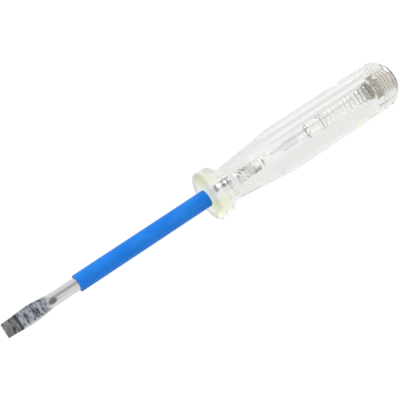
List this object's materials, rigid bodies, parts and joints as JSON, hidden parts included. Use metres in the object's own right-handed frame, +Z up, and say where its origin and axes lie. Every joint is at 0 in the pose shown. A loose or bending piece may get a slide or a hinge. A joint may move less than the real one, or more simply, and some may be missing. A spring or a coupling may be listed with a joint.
{
  "type": "voltage tester screwdriver",
  "caption": "Slotted tester screwdriver: flat blade on a sleeved steel shank, clear faceted grip with a round guard, glow lamp circuit inside and a screw-in metal tail plug.",
  "frame": {"origin": "centre of the blade's tip face", "axes": "+X along the tool's axis from the blade's tip to the tail plug, +Z up with one flat of the grip facing down, +Y to the side"},
  "size_m": [0.14, 0.016, 0.016],
  "materials": {
    "clear_plastic": "clear moulded plastic, glossy, faintly yellow-green where it is thick",
    "blade_steel": "bright plated steel, with a rough ground tip",
    "blue_pvc": "smooth flexible tube, satin",
    "resistor_coat": "lacquered ceramic rod",
    "cap_metal": "bright pressed metal",
    "lamp_glass": "clear glass",
    "lead_wire": "drawn wire, copper-coloured",
    "electrode_metal": "dull grey coated rod",
    "spring_steel": "drawn spring wire",
    "plug_metal": "nickel-plated, turned"
  },
  "bodies": {
    "handle_assembly": {"handle": "clear_plastic", "blade_shank": "blade_steel", "insulating_sleeve": "blue_pvc", "resistor_body": "resistor_coat", "resistor_front_cap": "cap_metal", "resistor_rear_cap": "cap_metal", "lamp_glass": "lamp_glass", "lamp_front_cap": "cap_metal", "lamp_rear_cap": "cap_metal", "lamp_front_lead": "lead_wire", "lamp_rear_lead": "lead_wire", "lamp_front_electrode": "electrode_metal", "lamp_rear_electrode": "electrode_metal"},
    "spring_seat": {"contact_spring": "spring_steel"},
    "tail_plug": {"end_plug": "plug_metal"}
  },
  "joints": [
    {"name": "plug_travel", "type": "slide", "parent": "handle_assembly", "child": "spring_seat", "axis": [1, 0, 0], "range_m": [0, 0.006], "deforming": ["contact_spring"]},
    {"name": "plug_turn", "type": "hinge", "parent": "spring_seat", "child": "tail_plug", "pos_m": [0.14, 0, 0], "axis": [1, 0, 0], "range_deg": [0, 2160]}
  ],
  "couplings": [
    {"joint": "plug_turn", "follows": "plug_travel", "rad_per_m": 6283.2}
  ]
}
